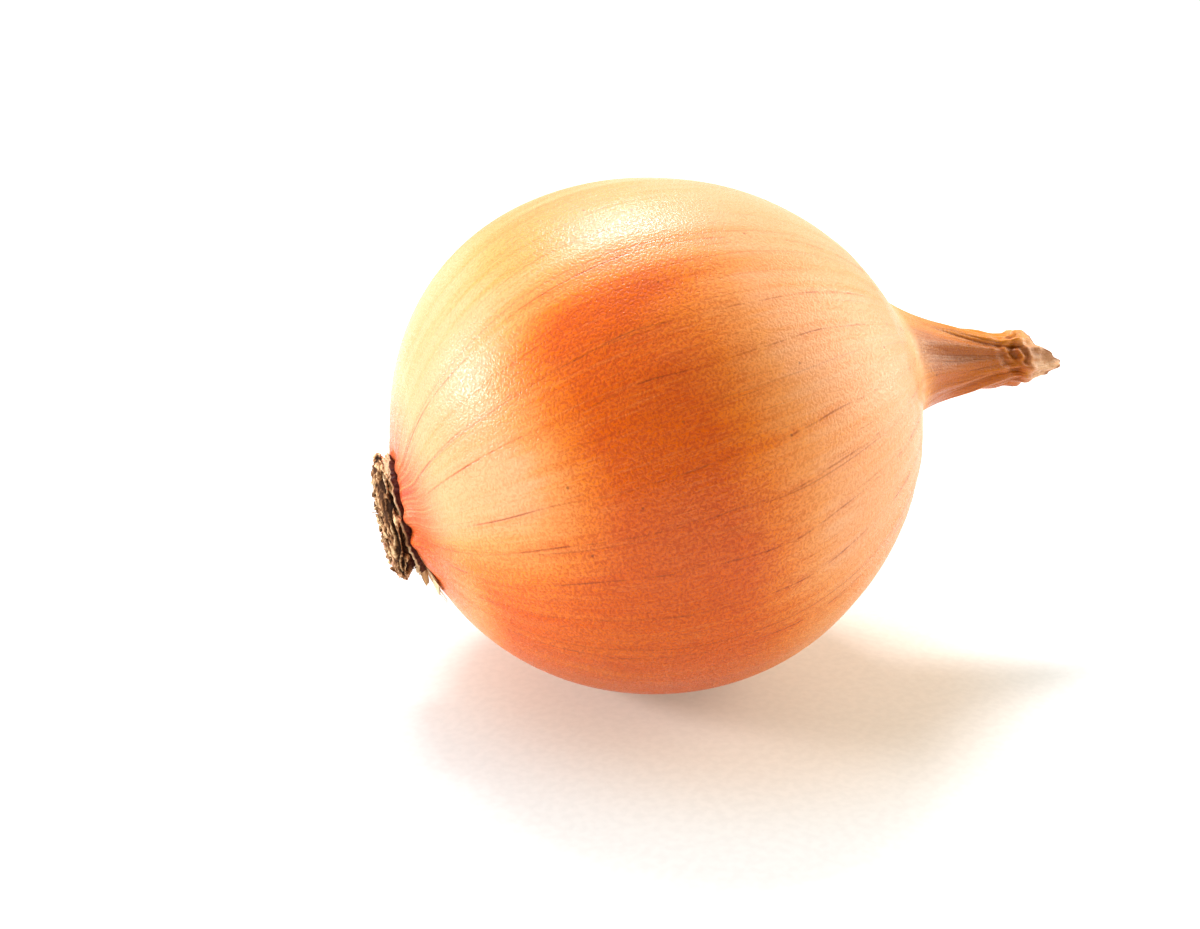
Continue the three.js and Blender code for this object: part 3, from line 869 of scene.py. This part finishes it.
def tip_folds(x, radius, theta):
    """Relief and painted shade of the tip: a spiral at the knot, sin(angle + 3 distance), and a fan of folds.
    """
    distance, angle = around_knot(x, theta)
    spiral = np.sin(angle + 3 * distance) * np.exp(-((distance / 2.5) ** 2)) * smooth(0, 0.6, distance)
    fan = waves(on_cylinder(1, angle, 0.1 * distance), 0.85, 15, 14)
    near = np.exp(-((distance / 6) ** 2)) * smooth(0.8, 2.4, distance)
    crease = 1 - np.abs(waves(place(x * 0.6, radius, theta), 4.4, 19, 14))
    in_tip = smooth(49.5, 53, x)
    relief = 0.36 * spiral + in_tip * (0.15 * near * fan + 0.35 * (1 - near) * (crease - 0.55))
    # Painted light on the raised parts of the spiral and folds, painted shade in their hollows, darkest at
    # the knot's middle.
    shade = 1.2 * spiral + in_tip * (0.5 * near * fan + 0.6 * (1 - near) * (crease - 0.6))
    return relief, shade - 0.7 * np.exp(-((distance / 1.3) ** 2))


def build_skin(material):
    """The whole outer skin as one closed surface, with fine unevenness added along the radius."""
    x, r, theta, edge = skin_rings()
    u = x / BULB_HALF_LENGTH
    round_vector = on_cylinder(1, theta, u)

    # The bulb: broad unevenness, fine lengthwise ribs, and creases where it draws in to the neck
    swell = 0.16 * waves(round_vector * (1, 1, 0.8), 1.1, 11)
    ribs = 0.045 * waves(round_vector * (1, 1, 0.12), 0.2, 12, 16)
    belly = np.sqrt(np.clip(1 - np.clip(u, -1, 1) ** 2, 0, 1))
    shoulder = smooth(24, 35, x) * smooth(48, 38, x)
    creases = 0.12 * shoulder * waves(round_vector * (1, 1, 0.1), 0.35, 13, 16)
    # The neck: folds and fibres that end in grooves, and the torn tip's own relief
    folded = drawn_together(x, theta)
    folds = waves(on_cylinder(1, folded, 0.12 * u), 0.36, 14, 16)
    fibres = waves(on_cylinder(1, folded, 0.2 * u), 0.15, 20, 16)
    groove = 0.75 * smooth(0.22, 0, np.abs(folds)) + 0.45 * smooth(0.25, 0, np.abs(fibres))
    groove = groove * smooth(35, 43, x) * smooth(NECK_END, 52, x)
    relief, shade = tip_folds(x, r, theta)
    wrinkle = smooth(50, 54, x) * waves(place(x, r, theta), 1.4, 18, 14)
    # Puckers where the skin is gathered round the root plate
    gathered = waves(round_vector * (1, 1, 0), 0.22, 16, 14)
    lip = 0.3 * bump(theta, 1.5, 0.4) - 1.2 * bump(theta, 0.1, 0.95) + 0.18 * gathered
    puckers = np.exp(-(((r - 8.6) / 1.8) ** 2)) * (x < 0) * lip
    radius = r + belly * (swell + ribs) + creases - 0.12 * groove + relief + 0.05 * wrinkle
    shift = puckers + 0.22 * smooth(54, 57, x) * waves(place(x, r, theta), 2.1, 17, 12)
    radius = np.maximum(radius, 0.03)
    points = place(x + shift, radius, theta)
    # The flat spot: no point is below the surface that the bulb lies on
    points[..., 2] = np.maximum(points[..., 2], -MIDDLE[2])
    start = place(-BULB_HALF_LENGTH, 0, 0)
    shape = closed_grid(points, start, points[-1].mean(axis=0))

    # Painted light and shade of the neck's relief: above 0 on folds, painted light; below 0 in grooves, at
    # the knot and in the torn tip's crater, painted shade; darker too at the torn edge
    fold = 0.45 * ridge_wave(x, folded) * smooth(34, 44, x) * smooth(54, 51, x)
    fold = fold - 0.9 * groove + shade + 0.25 * wrinkle - 1.1 * edge
    attributes = {
        "round": with_ends(round_vector, [[0, 0, -1.0]], [[0, 0, u[-1].mean()]]),
        "girth": with_ends(radius, [0.1], [0.1]),
        "fold": with_ends(fold, [0.0], [-0.8]),
    }
    return add_object("skin", shape, material, attributes, corner_uv(*x.shape))


# Root end

def plate_surface():
    """The dried stem plate: its profile carried round, cut by pits that run round it between thin ridges."""
    profile = np.array(PLATE_PROFILE)
    length = np.concatenate([[0], np.cumsum(np.hypot(*np.diff(profile, axis=0).T))])
    s = np.linspace(0, length[-1], PLATE_ROWS)
    x = np.interp(s, length, profile[:, 0])
    r = np.interp(s, length, profile[:, 1])
    soften = np.ones(5) / 5
    x[2:-2] = np.convolve(x, soften, "valid")
    r[2:-2] = np.convolve(r, soften, "valid")
    slope_x = np.gradient(x, s)
    slope_r = np.gradient(r, s)
    steep = np.hypot(slope_x, slope_r)
    theta = np.linspace(0, TURN, PLATE_COLUMNS, endpoint=False)[None, :]
    s, x, r = s[:, None], x[:, None], r[:, None]
    front = smooth(*PLATE_FRONT_X, x)
    high = np.sin(theta) + 0 * x
    low = smooth(-0.5, -0.95, high)

    around = on_cylinder(0.3 * np.maximum(r, 2), theta, s)
    ridge = np.maximum(0, 1 - np.abs(waves(around, 1.75, 21, 14))) ** 1.4
    finer = np.maximum(0, 1 - np.abs(waves(around, 0.7, 22, 14)))
    relief = 0.75 * ridge + 0.25 * finer
    relief = relief + low * front * (0.25 - 0.25 * relief)
    face = front * smooth(*PLATE_FACE_RADIUS, r)
    flat = on_cylinder(r, theta, 0 * s)
    crumbs = 0.5 + 0.3 * waves(flat, 2.1, 25, 16) + 0.3 * waves(flat, 0.95, 26, 16)
    relief = relief + 0.8 * face * (np.clip(crumbs, 0, 1) - relief)
    chips = waves(around, 3.0, 23, 10)
    depth = (0.15 + 0.8 * front - 0.3 * face) * (relief - 0.75) + 0.16 * front * (chips - 0.4)
    uneven = 1 + 0.025 * front * waves(around * (1, 1, 0.2), 1.6, 24, 8)

    out_x = (slope_r / steep)[:, None]
    out_r = (-slope_x / steep)[:, None]
    rim = smooth(*PLATE_RIM_RADIUS, r)
    radius = r * section(ROOT_SECTION_X, theta) * uneven + out_r * depth
    along = x + PLATE_LEAN * r * np.sin(theta) * front + out_x * depth * rim
    return place(along, np.maximum(radius, 0.1), theta), {
        "relief": relief, "front": front + 0 * theta, "high": high, "face": face + 0 * theta
    }


def build_plate(material):
    """The plate's surface closed at its foot and at the middle of its face."""
    points, values = plate_surface()
    shape = closed_grid(points, points[0].mean(axis=0), points[-1].mean(axis=0))
    attributes = {key: with_ends(rows, [rows[0].mean()], [rows[-1].mean()]) for key, rows in values.items()}
    return add_object("root_crown", shape, material, attributes)


def face_point(radius, theta):
    """Point on the plate's face at a radius, and the way out of it."""
    profile = np.array(PLATE_PROFILE)[::-1]
    x = np.interp(radius, profile[:-3, 1], profile[:-3, 0]) + PLATE_LEAN * radius * math.sin(theta)
    out = place(-1.0, 0.12 * radius, theta) - place(0, 0, 0)
    return place(x, radius, theta), out / np.linalg.norm(out)


def build_stubs(material):
    """Broken root stubs, a golden angle apart: each rises to a rim and goes down to a floor inside it."""
    draw = np.random.default_rng(31)
    height = np.array(STUB_HEIGHTS)
    width = np.array(STUB_WIDTHS)
    shapes = []
    for n in range(STUB_COUNT):
        radius = STUB_REACH * math.sqrt((n + 0.5) / STUB_COUNT)
        theta = GOLDEN_ANGLE * n + draw.normal(0, 0.06)
        base, out = face_point(radius, theta)
        size = draw.uniform(*STUB_RADIUS)
        length = draw.uniform(*STUB_LENGTH)
        bend = draw.normal(0, 0.35, 3)
        path = base + out * (height * length)[:, None] + bend * (np.maximum(height, 0) ** 2 * length)[:, None]
        shapes.append(sweep(path, size * width, STUB_SIDES, out))
    return add_object("root_stubs", join(shapes), material)


def build_threads(material):
    """Dry root threads: thin bent tubes from the face and the rim, thinner and pressed back at the tip."""
    draw = np.random.default_rng(32)
    share = np.linspace(0, 1, 11)[:, None]
    shapes = []
    for n in range(THREAD_COUNT):
        base, out = face_point(draw.uniform(*THREAD_REACH), draw.uniform(0, TURN))
        aim = out + draw.normal(0, 0.75, 3)
        aim /= np.linalg.norm(aim)
        length = draw.uniform(*THREAD_LENGTH)
        curl = draw.normal(0, 0.5, 3)
        path = base - 0.3 * out + length * (aim * share + curl * share**2 * 0.8 - curl * share**3 * 0.5)
        path = np.where(((path - base) @ out)[:, None] > 1.15, path - 0.4 * out, path)
        shapes.append(sweep(path, THREAD_RADIUS * (1 - 0.75 * share[:, 0]), THREAD_SIDES))
    return add_object("root_threads", join(shapes), material)


def on_skin(phi, theta, lift):
    """Point over the skin at the root end: phi from the pole, lift along the normal."""
    x = -BULB_HALF_LENGTH * np.cos(phi) - lift * np.cos(phi)
    r = bulb_radius(-BULB_HALF_LENGTH * np.cos(phi)) * section(ROOT_SECTION_X, theta)
    return place(x, r + lift * np.sin(phi), theta)


def phi_at(radius):
    """Angle from the pole where the bulb has this radius, close to the root."""
    return np.arcsin(radius / (BULB_RADIUS * ROOT_FULLNESS))


RING_ANGLE = np.linspace(0, TURN, COLLAR_COLUMNS)[None, :]
RING_SHARE = np.linspace(0, 1, COLLAR_ROWS)[:, None]


def torn_waves(seed):
    """Slow waves and small teeth round a torn edge."""
    around = on_cylinder(1, RING_ANGLE, 0)
    teeth = waves(around, 0.2, seed, 12) + 0.6 * waves(around, 0.09, seed + 1, 12)
    return waves(around, 1.1, seed + 2, 8), teeth


def thinning(thick, loss):
    """Thickness of a sheet round the ring: thick at its foot, and less by loss at its torn edge."""
    return thick - loss * RING_SHARE + 0 * RING_ANGLE


def frill(seed, start, height, flare):
    """Upright torn frill round the plate: out from the skin along the axis, opening a little to its edge."""
    slow, teeth = torn_waves(seed)
    rise = np.maximum(0.2, height * (1 + 0.12 * slow) + 0.1 * teeth) * RING_SHARE
    foot = -BULB_HALF_LENGTH * np.cos(phi_at(start)) + 0.15
    radius = start + RING_SHARE * (flare + 0.14 * slow + 0.07 * teeth)
    radius = radius * section(ROOT_SECTION_X, RING_ANGLE)
    return sheet(place(foot - rise, radius, RING_ANGLE), thinning(0.16, 0.09))


def lying_layer(seed, reach, lift):
    """Torn skin lying over the bulb: from the plate outward to a ragged edge, lifted more towards it."""
    slow, teeth = torn_waves(seed)
    inner = COLLAR_RADIUS - 0.4
    radius = inner + (reach + 0.1 * teeth + 0.06 * slow - inner) * RING_SHARE
    ripple = 1 + 0.3 * slow + 0.3 * np.sin(9 * RING_ANGLE + 5 * RING_SHARE)
    height = 0.25 + lift * RING_SHARE * ripple
    return sheet(on_skin(phi_at(radius), RING_ANGLE, height), thinning(0.14, 0.07))


def sliver(draw, theta, length, start):
    """A thin pointed strip of skin, lifted from the bulb and bent back to it."""
    share = np.linspace(0, 1, 14)[:, None]
    side = np.linspace(-0.5, 0.5, 4)[None, :]
    width = draw.uniform(0.15, 0.45) * (1 - share**1.5) + 0.05
    radius = start + length * share
    angle = theta + draw.normal(0, 0.05) * share + width * side / radius
    lift = 0.4 + draw.uniform(0.2, 0.7) * share * (1.4 - share) + 0 * side
    return sheet(on_skin(phi_at(radius) + 0 * side, angle, lift), 0.07 + 0 * angle)


def flake(centre, length, width):
    """Reach of a torn layer that is short all round but for one flake: length e^-(angle / width)^4 more."""
    away = (RING_ANGLE - centre + math.pi) % TURN - math.pi
    return COLLAR_RADIUS - 0.2 + length * np.exp(-((away / width) ** 4))


def sheet_edge(shape, rows):
    """Share from the foot to the torn edge at each point of a sheet with that many rows, 1 where it ends."""
    share = np.repeat(np.linspace(0, 1, rows), (len(shape[0]) - 2) // rows)
    return np.concatenate([share, [0, 1]])


def build_collar(material):
    """The torn collar: an upright frill, a crumpled tab below, a broad flake on the bulb, and slivers."""
    tab = bump(RING_ANGLE, FLAKE_ANGLE, 0.42)
    facing = bump(RING_ANGLE, 0.15, 0.75) + bump(RING_ANGLE, 3.6, 1.2)
    cut_away = bump(RING_ANGLE, 1.85, 0.75)
    uprights = [
        frill(41, COLLAR_RADIUS, 1.45 + 0.4 * facing - 1.1 * cut_away, 0.5 + 0.2 * tab),
        frill(46, COLLAR_RADIUS - 0.3, 0.3 + 1.2 * tab, 0.1 + 0.8 * tab),
    ]
    flakes = [
        lying_layer(51, flake(FLAKE_ANGLE, FLAKE_LENGTH, 0.42), 0.5),
        lying_layer(56, flake(FLAKE_ANGLE - 0.3, 0.55 * FLAKE_LENGTH, 0.25), 0.9),
    ]
    draw = np.random.default_rng(61)
    for n in range(SLIVER_COUNT):
        theta = FLAKE_ANGLE + draw.normal(0, 0.25)
        flakes.append(sliver(draw, theta, draw.uniform(2.0, 5.6), COLLAR_RADIUS + 0.3))
    edges = [sheet_edge(layer, COLLAR_ROWS) for layer in uprights]
    edges += [np.ones(len(layer[0])) for layer in flakes]
    return add_object("torn_collar", join(uprights + flakes), material, {"edge": np.concatenate(edges)})


# Camera, floor and light

def middle_of_bulb():
    return Vector((MIDDLE * MM).tolist())


def make_camera():
    """Looks down at the onion from the front left, as close as a table photograph is taken."""
    right = Vector((math.cos(CAMERA_AZIMUTH), math.sin(CAMERA_AZIMUTH), 0))
    level = Vector((-math.sin(CAMERA_AZIMUTH), math.cos(CAMERA_AZIMUTH), 0))
    forward = level * math.cos(CAMERA_ELEVATION) - Vector((0, 0, math.sin(CAMERA_ELEVATION)))
    up = right.cross(forward)
    sight = forward + right * MIDDLE_RIGHT_OF_CENTRE + up * MIDDLE_ABOVE_CENTRE
    position = middle_of_bulb() - sight * CAMERA_DEPTH * MM
    camera = bpy.data.objects.new("camera", bpy.data.cameras.new("camera"))
    camera.data.lens = CAMERA_LENS
    camera.data.sensor_width = SENSOR_WIDTH
    camera.data.clip_start = NEAREST_SEEN
    camera.matrix_world = Matrix.Translation(position) @ Matrix((right, up, -forward)).transposed().to_4x4()
    bpy.context.scene.collection.objects.link(camera)
    bpy.context.scene.camera = camera


# The floor's paint, in pairs that a fine noise mixes, warm near the onion as painted bounce light from it,
# and a painted glow that stands in for a white room's light
FLOOR_PLAIN = ((0.50, 0.485, 0.46, 1), (0.54, 0.525, 0.50, 1))
FLOOR_PAINTED_BOUNCE = ((0.50, 0.462, 0.40, 1), (0.54, 0.50, 0.435, 1))
GLOW_UNDER = (0.27, 0.25, 0.20, 1)
GLOW_NEAR = (0.37, 0.43, 0.44, 1)
GLOW_FAR = (0.9, 0.9, 0.9, 1)


def make_floor():
    """A large plain white surface, warm near the onion with painted bounce light, and glowing brighter away
    from it with painted light, by distance in metres.
    """
    material, tree, shader = new_material("floor_white", 0.9, Specular_IOR_Level=0.1, Emission_Strength=1.0)
    soft = fade(tree, noise(tree, object_space(tree), 900.0, 2.0), 0.3, 0.7)
    length = put(tree, "VectorMath", operation="LENGTH")
    feed(tree, length.inputs[0], object_space(tree))
    distance = length.outputs["Value"]
    plain = tint(tree, soft, *FLOOR_PLAIN)
    painted_bounce = tint(tree, soft, *FLOOR_PAINTED_BOUNCE)
    feed(tree, shader.inputs["Base Color"], tint(tree, fade(tree, distance, 0.065, 0.03), plain, painted_bounce))
    # Painted glow: the floor emits light, dim and warm under the onion, brightest far from it.
    glow = tint(tree, fade(tree, distance, 0.028, 0.05), GLOW_UNDER, GLOW_NEAR)
    glow = tint(tree, fade(tree, distance, 0.06, 0.4), glow, GLOW_FAR)
    feed(tree, shader.inputs["Emission Color"], glow)
    mesh = bpy.data.meshes.new("floor")
    half = FLOOR_SIZE / 2
    corners = [(-half, -half, 0), (half, -half, 0), (half, half, 0), (-half, half, 0)]
    mesh.from_pydata(corners, [], [(0, 1, 2, 3)])
    mesh.materials.append(material)
    floor = bpy.data.objects.new("floor", mesh)
    bpy.context.scene.collection.objects.link(floor)


LAMP_DISTANCE = 0.7
# Name, direction from the bulb's middle, width, height, watts, colour
LAMPS = (
    ("window_left", (-0.93, 0.20, 0.28), 0.21, 0.15, 5.4, (1.0, 0.97, 1.05)),
    ("window_top", (0.0, 0.43, 0.90), 0.32, 0.12, 6.3, (1.0, 1.0, 1.12)),
    ("card_right", (0.94, 0.0, 0.34), 0.55, 0.50, 4.2, (1.0, 0.95, 0.80)),
)


def add_softbox(name, direction, width, height, power, colour):
    """A rectangular lamp in a direction from the bulb's middle, facing it."""
    lamp = bpy.data.lights.new(name, "AREA")
    lamp.shape = "RECTANGLE"
    lamp.size = width
    lamp.size_y = height
    lamp.energy = power
    lamp.color = colour
    obj = bpy.data.objects.new(name, lamp)
    away = Vector(direction).normalized()
    obj.location = middle_of_bulb() + away * LAMP_DISTANCE
    obj.rotation_euler = away.to_track_quat("Z", "Y").to_euler()
    bpy.context.scene.collection.objects.link(obj)


def make_light():
    """Windows to the left and overhead, a pale card to the right, and a white room that is dim in front."""
    for lamp in LAMPS:
        add_softbox(*lamp)
    world = bpy.data.worlds.new("room")
    world.use_nodes = True
    tree = world.node_tree
    _, back, up = parts(tree, "XYZ", put(tree, "TexCoord").outputs["Generated"])
    behind = fade(tree, back, -0.55, 0.35)
    above = fade(tree, up, 0.1, 0.9)
    horizon = times(tree, fade(tree, calc(tree, "ABSOLUTE", up), 0.3, 0.12, 0.0, 0.25), behind)
    bright = calc(tree, "ADD", larger(tree, behind, times(tree, above, 0.7)), horizon)
    background = tree.nodes["Background"].inputs
    feed(tree, background["Strength"], calc(tree, "MULTIPLY_ADD", bright, 0.82, 0.08))
    feed(tree, background["Color"], (1, 0.995, 0.985, 1))
    bpy.context.scene.world = world
    bpy.context.scene.view_settings.view_transform = "Standard"


def stands_for(piece, node):
    """The piece rides on the body and takes the node's place."""
    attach(piece, "root")
    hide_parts(node)


make_camera()
make_floor()
make_light()

stands_for(build_skin(make_skin_material()), "bulb")
root_material = make_root_material()
stands_for(build_plate(root_material), "root_plate")
fibre_material = make_fibre_material()
stands_for(build_stubs(fibre_material), "root_plate")
stands_for(build_threads(fibre_material), "root_plate")
stands_for(build_collar(make_torn_material()), "skin_collar")
